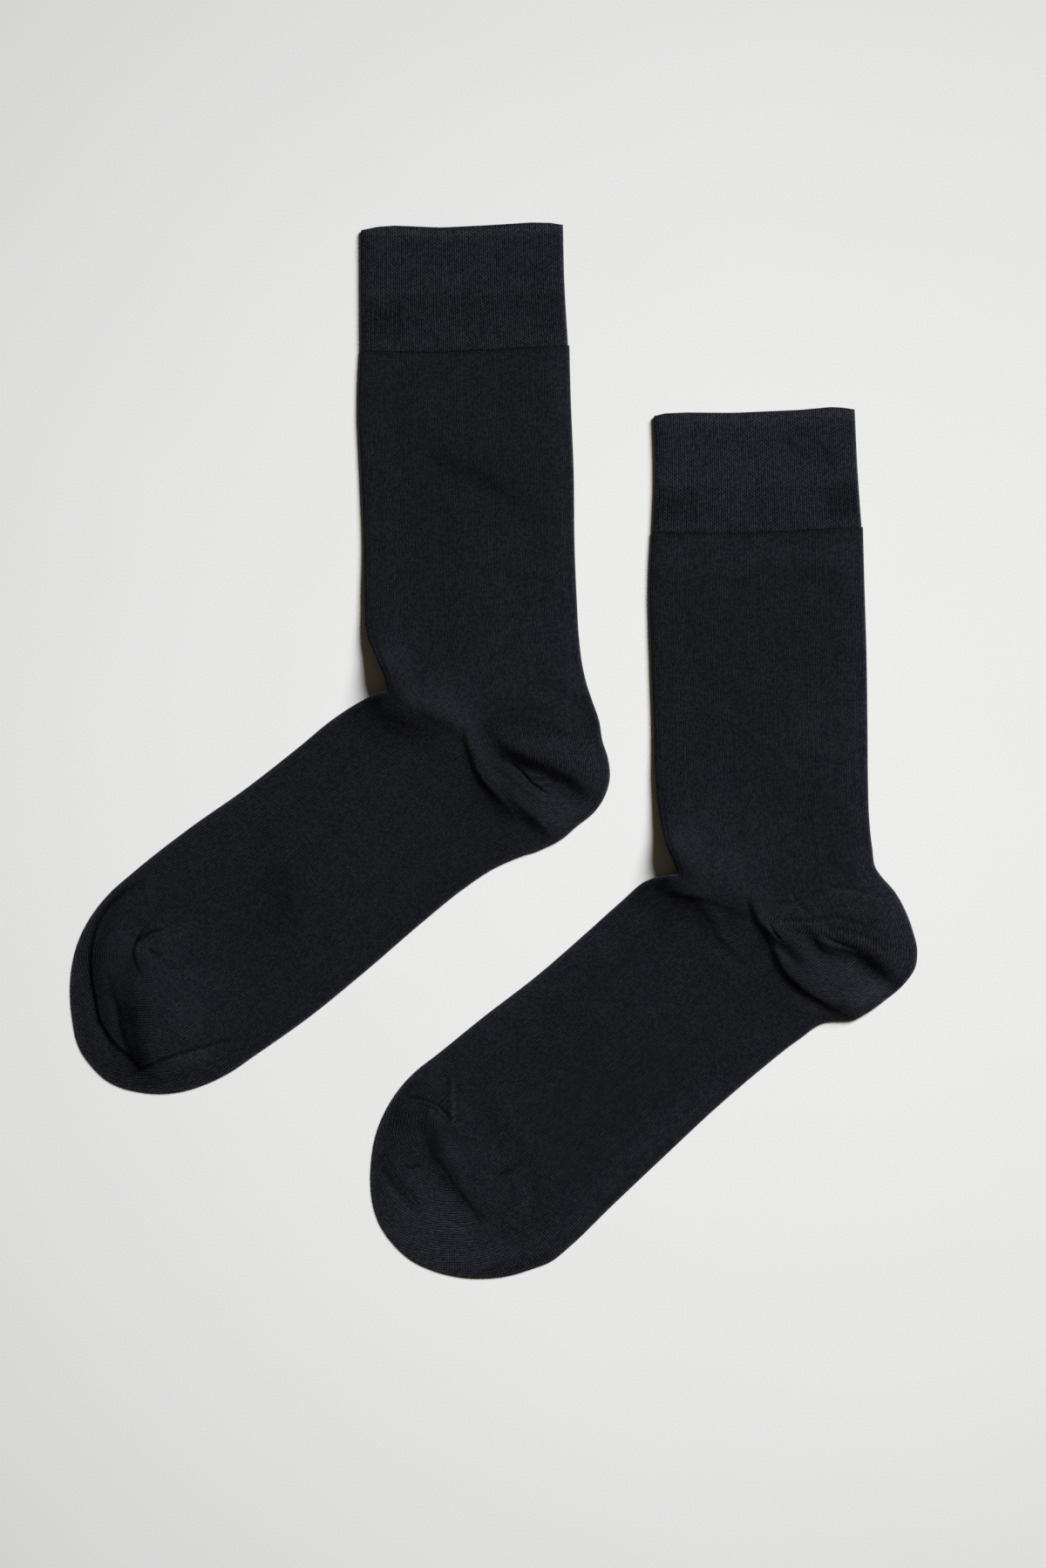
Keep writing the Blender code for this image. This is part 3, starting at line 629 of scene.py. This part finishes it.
def unevenness(plan):
    """Gentle unevenness, mostly between -1 and 1."""
    count, spread = 14, 1.5
    draw = np.random.default_rng(UNEVEN_SEED)
    total = np.zeros(len(plan))
    for _ in range(count):
        wave = direction(draw.uniform(0, math.tau)) * math.tau / draw.uniform(*UNEVEN_WAVES)
        total += np.sin(plan @ wave + draw.uniform(0, math.tau))
    return total / count**0.5 / spread


def rise_of(shapes, plan):
    """How much some swells and folds raise each plan point."""
    rise = np.zeros(len(plan))
    for shape in shapes:
        if isinstance(shape, Fold):
            rise += fold_rise(shape, plan)
        else:
            away = np.hypot(plan[:, 0] - shape.x, plan[:, 1] - shape.y)
            rise += shape.rise * np.exp(-((away / shape.reach) ** 2))
    return rise


def eased(value, low, high):
    """0 below low, 1 above high and smooth between."""
    share = np.clip((value - low) / (high - low), 0, 1)
    return share**2 * (3 - 2 * share)


def panel_heights(sock, plan, inset):
    """How high the outsides of the lower and the upper panel lie over the ground. inset: how far the points
    lie inside the outline. The tube is pressed flat along its edges, but for the leg's front one."""
    lift = rise_of(sock.lifts, plan)
    standing = eased(plan[:, 1], *ROUND_FROM) * (1 - eased(plan[:, 0], *ROUND_TO))
    lower = lift + rise_of(sock.underfolds, plan)
    upper = REST_HEIGHT + rise_of(sock.swells + sock.folds, plan)
    upper += UNEVEN * unevenness(plan)
    upper *= 1 - PRESSED * (1 - standing) * np.exp(-((inset / PRESS_REACH) ** 2))
    return lower, lift + np.maximum(upper, LEAST_HEIGHT)


def edge_distance(outline, plan):
    """How far each plan point lies from an outline, a list of dense lines."""
    points = np.vstack(outline)
    joined = np.concatenate([np.r_[np.ones(len(line) - 1, bool), False] for line in outline])
    tree = KDTree(len(points))
    for k, (x, y) in enumerate(points):
        tree.insert((x, y, 0.0), k)
    tree.balance()
    nearest = np.array([tree.find((x, y, 0.0))[1] for x, y in plan])
    best = np.full(len(plan), np.inf)
    for start in (nearest, nearest - 1):
        start = np.clip(start, 0, len(points) - 2)
        a, run = points[start], points[start + 1] - points[start]
        share = np.clip(((plan - a) * run).sum(axis=1) / np.maximum((run**2).sum(axis=1), 1e-12), 0, 1)
        away = np.linalg.norm(plan - a - share[:, None] * run, axis=1)
        best = np.where(joined[start], np.minimum(best, away), best)
    return best


# ---------------------------------------------------------------- the shells


def from_edge(length, count):
    """Shares of the way in from an edge, close together over the rounded fold and even after it."""
    reach = np.minimum(FOLD_REACH / length, 0.5)[:, None]
    return np.hstack([reach * np.array(EDGE_SHARES), reach + (1 - reach) * np.arange(count) / count])


def across(edges, front_count, back_count):
    """Plan points from the front edge to the back edge, both included, and their shares of the way from
    the front edge to the gusset's line, and from there to the back edge."""
    front = from_edge(np.linalg.norm(edges.middle - edges.front, axis=1), front_count)[..., None]
    back = from_edge(np.linalg.norm(edges.back - edges.middle, axis=1), back_count)[:, ::-1, None]
    f, m, b = (points[:, None, :] for points in edges)
    plan = np.concatenate([f + front * (m - f), m, b + back * (m - b), b], axis=1)
    return plan, front[..., 0], 1 - back[..., 0]


Grid = namedtuple("Grid", "plan wales upper")


def front_wales(sock):
    """How many wales lie before the gusset's line."""
    return WALES * sock.gusset[0] / sock.leg[-1].back


def tube_grid(sock, edges):
    """Round a tube: the upper panel from front to back, then the underside from back to front."""
    before = front_wales(sock)

    def wales_of(front, back):
        one = np.ones((len(front), 1))
        return np.hstack([front * before, one * before, before + back * (WALES - before), one * WALES])

    top, *top_shares = across(edges, FRONT_COLUMNS, BACK_COLUMNS)
    under, *under_shares = across(edges, FRONT_COLUMNS // UNDERSIDE_SHARE, BACK_COLUMNS // UNDERSIDE_SHARE)
    plan = np.concatenate([top, under[:, -2:0:-1]], axis=1)
    wales = np.hstack([wales_of(*top_shares), 2 * WALES - wales_of(*under_shares)[:, -2:0:-1]])
    return Grid(plan, wales, np.arange(plan.shape[1]) < top.shape[1])


def pocket_grid(sock, edges):
    """Over a heel pocket: out along each ray on the upper panel and back to the gusset underneath."""
    before = front_wales(sock)
    length = np.linalg.norm(edges.back - edges.middle, axis=1)
    m, b = edges.middle[:, None, :], edges.back[:, None, :]

    def ray(count):
        share = 1 - from_edge(length, count)[:, ::-1]
        return np.hstack([np.zeros((len(share), 1)), share, np.ones((len(share), 1))])

    top, under = ray(BACK_COLUMNS), ray(BACK_COLUMNS // UNDERSIDE_SHARE)[:, -2::-1]
    share = np.hstack([top, under])
    number = before + share * (WALES - before)
    upper = np.arange(share.shape[1]) < top.shape[1]
    return Grid(m + share[..., None] * (b - m), np.where(upper, number, 2 * WALES - number), upper)


def courses(plan):
    """How many rows of stitches lie above each point, counted along its wale."""
    steps = np.linalg.norm(np.diff(plan, axis=0), axis=2)
    return np.vstack([np.zeros((1, plan.shape[1])), np.cumsum(steps, axis=0)]) / COURSE


def outside(sock, grid, inset, proud):
    """The points of a shell's outside, with the middle height and half the thickness there."""
    ground, top = panel_heights(sock, grid.plan.reshape(-1, 2), inset)
    top += proud
    middle = (ground + top) / 2
    share = np.clip(inset / FOLD_REACH, 0, 1)
    bulge = np.sqrt(1 - (1 - share) ** 2) * (top - middle)
    z = np.where(np.tile(grid.upper, len(grid.plan)), middle + bulge, middle - bulge)
    shape = grid.plan.shape[:2]
    return np.dstack([grid.plan, z.reshape(shape)]), middle.reshape(shape), (top - middle).reshape(shape)


def inside(points, middle, half, centre):
    """The inside of the wall: the outside drawn in towards the gusset's line and the middle height."""
    most_in, most_down = 0.8, 0.6  # shares of the way, which keep it from closing up
    plan, z = points[..., :2], points[..., 2]
    inward = centre[:, None, :] - plan
    length = np.linalg.norm(inward, axis=2)[..., None]
    moved = plan + inward * np.minimum(WALL / np.maximum(length, WALL), most_in)
    return np.dstack([moved, middle + (z - middle) * (1 - np.minimum(WALL / half, most_down))])


def grid_faces(refs):
    """Quads over a grid of corner numbers, which face outwards."""
    a, b, c, d = refs[:-1, :-1], refs[1:, :-1], refs[1:, 1:], refs[:-1, 1:]
    return np.stack([a, b, c, d], axis=-1).reshape(-1, 4)


def add_object(name, data):
    thing = bpy.data.objects.new(name, data)
    bpy.context.scene.collection.objects.link(thing)
    return thing


def shell(name, outer, inner, inner_rows, maps, ring, closed):
    """A closed shell from its outside and inside grids, with its UV maps. ring: it goes all round, and has
    a last column that repeats the first. closed: its last row is one point."""
    rows, columns = outer.shape[:2]
    outer_refs = np.arange(rows * columns).reshape(rows, columns)
    inner_refs = outer_refs.size + np.arange(len(inner) * columns).reshape(len(inner), columns)
    points = np.vstack([outer.reshape(-1, 3), inner.reshape(-1, 3)])
    vertex = np.arange(len(points))
    for refs in (outer_refs, inner_refs):
        if ring:
            vertex[refs[:, -1]] = vertex[refs[:, 0]]
        else:
            vertex[refs[:, 0]] = refs[0, 0]
            vertex[refs[:, -1]] = refs[0, -1]
        if closed:
            vertex[refs[-1]] = refs[-1, 0]
    rims = [grid_faces(np.stack([outer_refs[0], inner_refs[0]]))[:, ::-1]]
    if not closed:
        rims.append(grid_faces(np.stack([outer_refs[-1], inner_refs[-1]])))
    refs = np.vstack([grid_faces(outer_refs), grid_faces(inner_refs)[:, ::-1], *rims])
    # corners that fell together are left out, and so are the faces that have too few left
    corner = vertex[refs]
    keep = corner != np.roll(corner, 1, axis=1)
    keep &= (keep.sum(axis=1) > 2)[:, None]
    used, corner_used = np.unique(corner[keep], return_inverse=True)
    sizes = keep.sum(axis=1)
    sizes = sizes[sizes > 0]
    mesh = bpy.data.meshes.new(name)
    mesh.vertices.add(len(used))
    mesh.vertices.foreach_set("co", (points[used] * MM).astype(np.float32).ravel())
    mesh.loops.add(len(corner_used))
    mesh.loops.foreach_set("vertex_index", corner_used.astype(np.int32))
    mesh.polygons.add(len(sizes))
    mesh.polygons.foreach_set("loop_start", np.concatenate([[0], np.cumsum(sizes)[:-1]]).astype(np.int32))
    mesh.update(calc_edges=True)
    for map_name, values in maps.items():
        both = np.vstack([values.reshape(-1, 2), values[inner_rows].reshape(-1, 2)])
        layer = mesh.uv_layers.new(name=map_name, do_init=False)
        layer.uv.foreach_set("vector", both[refs[keep]].astype(np.float32).ravel())
    mesh.validate()
    mesh.shade_smooth()
    mesh.set_sharp_from_angle(angle=math.radians(60))
    return add_object(name, mesh)


def toe_map(sock, plan):
    """How far from the toe's centre each point lies, and how far round it."""
    lie = foot_lie(sock)
    offset = plan - np.array(sock.toe_centre)
    across_it, along_it = offset @ lie.side, offset @ lie.axis
    turn = np.arctan2(along_it, across_it)
    turn = np.where(turn < -math.pi / 2, turn + math.tau, turn)
    return np.dstack([np.hypot(across_it, along_it), turn])


def top_wave(sock, grid):
    """The cuff's top edge waves a little, and the back panel peeks out over the front one."""
    place, rise = zip(*sock.wave)
    down = np.linspace(0, 1, len(grid.plan))[:, None]
    wave = np.interp(grid.plan[..., 0], place, rise) * np.clip(1 - down / WAVE_DEPTH, 0, 1) ** 2
    peek = np.where(grid.upper, 0.0, PEEK) * np.clip(1 - down / PEEK_DEPTH, 0, 1) ** 2
    plan = grid.plan.copy()
    plan[..., 1] += wave + peek
    return grid._replace(plan=plan)


def painted_shading_map(sock, grid, inset):
    """Painted light and shade of the upper panel over its knit, with painted sheen of the fuzz at its
    outline.
    """
    tone = rise_of(sock.tones, grid.plan.reshape(-1, 2)) + PAINTED_RIM_SHEEN * np.exp(-((inset / PAINTED_RIM_REACH) ** 2))
    tone = np.maximum(tone, DEEPEST_PAINTED_SHADE) * np.tile(grid.upper, len(grid.plan))
    tone = tone.reshape(grid.plan.shape[:2])
    return np.dstack([tone, np.zeros_like(tone)])


def make_stretch(sock, stretch, edges, outline, corner):
    pocket, tip = stretch == "heel", stretch == "toe"
    grid = pocket_grid(sock, edges) if pocket else tube_grid(sock, edges)
    if stretch == "cuff":
        grid = top_wave(sock, grid)
    inset = edge_distance(outline, grid.plan.reshape(-1, 2))
    outer, middle, half = outside(sock, grid, inset, CUFF_PROUD if stretch == "cuff" else 0.0)
    rows = np.unique(np.append(np.arange(0, len(outer), INNER_SHARE), len(outer) - 1))
    if tip:
        rows = rows[np.linalg.norm(edges.back - edges.front, axis=1)[rows] > LEAST_INSIDE]
    inner = inside(outer[rows], middle[rows], half[rows], edges.middle[rows])
    maps = {"knit": np.dstack([grid.wales, courses(grid.plan)]), "tone": painted_shading_map(sock, grid, inset)}
    if tip:
        maps["toe"] = toe_map(sock, grid.plan)
    if not pocket:
        parts = (outer, inner, *maps.values())
        outer, inner, *closed = (np.concatenate([part, part[:, :1]], axis=1) for part in parts)
        maps = dict(zip(maps, closed))
        maps["knit"][:, -1, 0] = 2 * WALES
    piece = shell(f"{sock.name}_{stretch}_cloth", outer, inner, rows, maps, not pocket, tip)
    piece.location = corner
    return piece


def sock_corner(sock):
    """Where a sock's ankle corner lies in the frame, from the box of its CAD cuff."""
    low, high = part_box(f"{sock.name}_cuff")
    top = sock.cuff[0]
    x = low.x - min(row.front for row in sock.cuff) * MM
    y = high.y - (top.along + top.slant - HAIRLINE) * MM
    return Vector((x, y, 0.0))


# ---------------------------------------------------------------- materials


class Tree:
    """Short ways to add shader nodes."""

    def __init__(self, owner):
        owner.use_nodes = True
        self.nodes, self.links = owner.node_tree.nodes, owner.node_tree.links

    def add(self, kind, inputs=None, **settings):
        node = self.nodes.new(kind)
        for key, value in settings.items():
            setattr(node, key, value)
        for key, value in (inputs or {}).items():
            self.plug(node.inputs[key], value)
        return node

    def plug(self, socket, value):
        if isinstance(value, bpy.types.NodeSocket):
            self.links.new(value, socket)
        else:
            socket.default_value = value

    def math(self, operation, *values):
        return self.add("ShaderNodeMath", dict(enumerate(values)), operation=operation).outputs[0]

    def times(self, first, second):
        return self.math("MULTIPLY", first, second)

    def plus(self, first, second):
        return self.math("ADD", first, second)

    def minus(self, first, second):
        return self.math("SUBTRACT", first, second)

    def wave(self, value):
        """A cosine that turns once as value goes up by 2."""
        return self.math("COSINE", self.times(value, math.pi))

    def spread(self, value, size):
        """A value between 0 and 1 made to lie from -size to size."""
        return self.times(self.minus(value, 0.5), 2 * size)

    def ramp(self, value, low, high, start, end):
        """value eased from start to end as it goes from low to high."""
        names = ("Value", "From Min", "From Max", "To Min", "To Max")
        inputs = dict(zip(names, (value, low, high, start, end)))
        return self.add("ShaderNodeMapRange", inputs, interpolation_type="SMOOTHSTEP").outputs["Result"]

    def vector(self, x, y=0.0, z=0.0):
        return self.add("ShaderNodeCombineXYZ", {0: x, 1: y, 2: z}).outputs[0]

    def choose(self, share, first, second):
        """A number between two others."""
        return self.add("ShaderNodeMix", {"Factor": share, "A": first, "B": second}).outputs[0]

    def mix(self, share, first, second):
        """A colour between two others."""
        return self.add("ShaderNodeMix", {0: share, 6: first, 7: second}, data_type="RGBA").outputs[2]

    def lit(self, colour, light):
        """A colour times a number."""
        inputs = {0: colour, 1: self.vector(light, light, light)}
        return self.add("ShaderNodeVectorMath", inputs, operation="MULTIPLY").outputs[0]

    def noise(self, place, scale, detail=2.0):
        node = self.add("ShaderNodeTexNoise", {"Vector": place, "Scale": scale, "Detail": detail})
        return node.outputs["Fac"]

    def random(self, *values):
        """A random number for each whole part of a value, or of two."""
        place = self.vector(*(self.math("FLOOR", value) for value in values))
        node = self.add("ShaderNodeTexWhiteNoise", {"Vector": place}, noise_dimensions="2D")
        return node.outputs["Value"]

    def uv(self, name):
        """Both coordinates of a UV map."""
        node = self.add("ShaderNodeSeparateXYZ", {0: self.add("ShaderNodeUVMap", uv_map=name).outputs[0]})
        return node.outputs[0], node.outputs[1]

    def place(self):
        return self.add("ShaderNodeTexCoord").outputs["Object"]


def add_material(mesh, name, **finish):
    """A new material on a mesh, its node tree and its shader."""
    material = bpy.data.materials.new(name)
    tree = Tree(material)
    shader = tree.nodes["Principled BSDF"]
    for key, value in finish.items():
        shader.inputs[key.replace("_", " ")].default_value = value
    mesh.materials.append(material)
    return tree, shader


def stitches(tree, wale, course):
    """Plain stitches: their height, from 0 in the gaps to about 1, and a random number for each."""
    slow = tree.vector(tree.times(wale, WANDER_PACE[0]), tree.times(course, WANDER_PACE[1]))
    wale = tree.plus(wale, tree.spread(tree.noise(slow, 1.0), WANDER))
    off_centre = tree.times(tree.math("ABSOLUTE", tree.minus(tree.math("FRACT", wale), 0.5)), 2.0)
    slanted = tree.plus(course, tree.times(off_centre, SLANT))
    loop = tree.math("SINE", tree.times(tree.math("FRACT", slanted), math.pi))
    column = tree.minus(1.0, tree.math("POWER", off_centre, 3.0))
    groove = tree.times(tree.math("POWER", tree.minus(1.0, off_centre), 4.0), GROOVE)
    height = tree.times(tree.minus(column, groove), tree.math("MULTIPLY_ADD", loop, LOOP, 1 - LOOP))
    return height, tree.random(wale, slanted)


def toe_stitches(tree, wale, course):
    """In the toe's pocket, its own wales and courses round the toe's centre."""
    reach, turn = tree.uv("toe")
    start, end = (math.radians(angle) for angle in TOE_TURNS)
    own = tree.times(tree.math("GREATER_THAN", turn, start), tree.math("LESS_THAN", turn, end))
    own_wale, own_course = tree.math("DIVIDE", reach, TOE_WALE), tree.times(turn, TOE_RADIUS / COURSE)
    return tree.choose(own, wale, own_wale), tree.choose(own, course, own_course)


def mock_rib(tree, wale, course, height):
    """Tuck holes in the gaps at every second course, staggered, and every second wale a little higher."""
    holes = tree.times(tree.wave(wale), tree.wave(course))
    height = tree.minus(height, tree.ramp(holes, *HOLE_SIDE, 0.0, HOLE))
    return tree.math("MULTIPLY_ADD", tree.wave(tree.minus(wale, 0.5)), RIB, height)


# gap: how light the gaps between the wales are painted, as painted shade. relief: how high the stitches
# stand. speckle: how uneven they are. rib: whether it is a mock rib. grid: how much the courses show
Knit = namedtuple("Knit", "slot colour gap relief speckle rib grid")

KNITS = {
    "cuff": Knit("rib_knit", (0.0128, 0.0138, 0.0182), 0.12, 0.09, 0.36, True, 0.0),
    "leg": Knit("plain_knit", (0.0089, 0.0095, 0.0125), 0.20, 0.07, 0.32, False, 0.03),
    "heel": Knit("close_knit", (0.0105, 0.0112, 0.0147), 0.10, 0.16, 0.32, False, 0.08),
    "foot": Knit("plain_knit", (0.0099, 0.0106, 0.0140), 0.08, 0.24, 0.30, False, 0.07),
    "toe": Knit("close_knit", (0.0097, 0.0104, 0.0137), 0.08, 0.20, 0.30, False, 0.10),
}


def knit_material(piece, knit, toe):
    """Dark knitted cloth. toe: the cloth has the toe's own stitches in its pocket."""
    finish = {"Roughness": 0.8, "Specular_IOR_Level": 0.01, "Sheen_Weight": 0.02, "Sheen_Roughness": 0.3}
    tree, shader = add_material(piece.data, f"{piece.name}_knit", **finish)
    wale, course = tree.uv("knit")
    if toe:
        wale, course = toe_stitches(tree, wale, course)
    height, stitch = stitches(tree, wale, course)
    if knit.rib:
        height = mock_rib(tree, wale, course, height)
    if knit.grid:
        rows = tree.math("COSINE", tree.times(course, math.tau))
        height = tree.math("MULTIPLY_ADD", rows, knit.grid, height)
    # the colour: painted shade in the gaps and painted highlight on the stitches' tops, uneven from stitch
    # to stitch and from thread to thread, softly clouded and mottled, and with the folds' painted light and
    # shade
    place = tree.place()
    light = tree.ramp(height, 0.0, TOP, knit.gap, TOP_LIGHT)
    uneven = (
        (stitch, knit.speckle),
        (tree.random(wale), THREADS),
        (tree.noise(place, CLOUD_SCALE, 3.0), CLOUDS),
        (tree.noise(place, MOTTLE_SCALE), MOTTLE),
    )
    for value, size in uneven:
        light = tree.times(light, tree.plus(1.0, tree.spread(value, size)))
    # the folds' painted light and shade, and the painted sheen along the outline
    light = tree.times(light, tree.plus(1.0, tree.uv("tone")[0]))
    cool, warm = ((*(part * tint for part, tint in zip(knit.colour, tints)), 1.0) for tints in (COOL, WARM))
    yarn = tree.mix(tree.random(wale, course), cool, warm)
    tree.plug(shader.inputs["Base Color"], tree.lit(yarn, light))
    height = tree.math("MULTIPLY_ADD", tree.noise(place, GRAIN_SCALE), GRAIN, height)
    bump = tree.add("ShaderNodeBump", {"Height": height, "Distance": knit.relief * MM, "Strength": 1.0})
    tree.plug(shader.inputs["Normal"], bump.outputs[0])


# ---------------------------------------------------------------- the pieces


def one_line(lines):
    """Dense lines that follow each other, without the points that repeat."""
    points = np.vstack(lines)
    return points[np.r_[True, np.linalg.norm(np.diff(points, axis=0), axis=1) > 1e-6]]


def add_sock(sock):
    corner = sock_corner(sock)
    edges = tube_edges(sock)
    cuff_outline = [edges["cuff"].front, edges["cuff"].back]
    lower_outline = [
        one_line([edges[part].front for part in ("leg", "foot", "toe")]),
        one_line([edges[part].back for part in ("leg", "heel", "foot", "toe")]),
    ]
    for stretch, knit in KNITS.items():
        outline = cuff_outline if stretch == "cuff" else lower_outline
        piece = make_stretch(sock, stretch, edges[stretch], outline, corner)
        knit_material(piece, knit, stretch == "toe")
        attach(piece, "root")
        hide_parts(f"{sock.name}_{stretch}")


def add_floor():
    """A pale floor just under the socks, with a painted pool of light round a point right of the middle."""
    mesh = bpy.data.meshes.new("floor")
    half, drop = 12.0, -0.00005
    corners = [(-half, -half, drop), (half, -half, drop), (half, half, drop), (-half, half, drop)]
    mesh.from_pydata(corners, [], [(0, 1, 2, 3)])
    floor = add_object("floor", mesh)
    tree, shader = add_material(mesh, "floor_paint", Roughness=0.9, Specular_IOR_Level=0.1)
    place = tree.place()
    paint = tree.mix(tree.noise(place, 14.0, 4.0), (0.797, 0.807, 0.808, 1.0), (0.813, 0.823, 0.824, 1.0))
    # the painted pool of light: the paint darkens a little away from that point
    brightest, brightness, fall, darkest = (0.138, 0.0, 0.0), 1.018, 0.96, 0.78
    away = tree.add("ShaderNodeVectorMath", {0: place, 1: brightest}, operation="DISTANCE").outputs["Value"]
    light = tree.math("MULTIPLY_ADD", tree.times(away, away), -fall, brightness)
    tree.plug(shader.inputs["Base Color"], tree.lit(paint, tree.math("MAXIMUM", darkest, light)))
    bump = tree.add("ShaderNodeBump", {"Height": tree.noise(place, 900.0, 3.0), "Distance": 0.00003})
    tree.plug(shader.inputs["Normal"], bump.outputs[0])


def add_light():
    """A low key light from the upper right, with a little warm light from the room."""
    to_light = Vector((0.597, 0.659, 0.454))
    sun = add_object("key", bpy.data.lights.new("key", "SUN"))
    sun.data.energy = 6.8
    sun.data.angle = math.radians(22.0)
    sun.rotation_mode = "QUATERNION"
    sun.rotation_quaternion = to_light.to_track_quat("Z", "Y")
    world = bpy.data.worlds.new("studio")
    bpy.context.scene.world = world
    tree = Tree(world)
    room = tree.nodes["Background"]
    room.inputs["Color"].default_value = (0.044, 0.036, 0.024, 1.0)
    backdrop = tree.add("ShaderNodeBackground", {"Color": (0.80, 0.80, 0.785, 1.0)})
    seen = tree.add("ShaderNodeLightPath").outputs["Is Camera Ray"]
    both = tree.add("ShaderNodeMixShader", {0: seen, 1: room.outputs[0], 2: backdrop.outputs[0]})
    tree.plug(tree.nodes["World Output"].inputs["Surface"], both.outputs[0])


def add_camera():
    """Straight over the pair, with the legs up the frame, which is 456 mm wide and 684 mm high."""
    frame_height, lens, sensor = 0.684, 85.0, 36.0
    camera = add_object("camera", bpy.data.cameras.new("camera"))
    camera.data.lens = lens
    camera.data.sensor_width = sensor
    camera.location = (0.0125, -0.0143, frame_height * lens / sensor)
    bpy.context.scene.camera = camera
    bpy.context.scene.view_settings.view_transform = "Standard"


add_camera()
add_light()
add_floor()
for sock in (SOCK_A, SOCK_B):
    add_sock(sock)
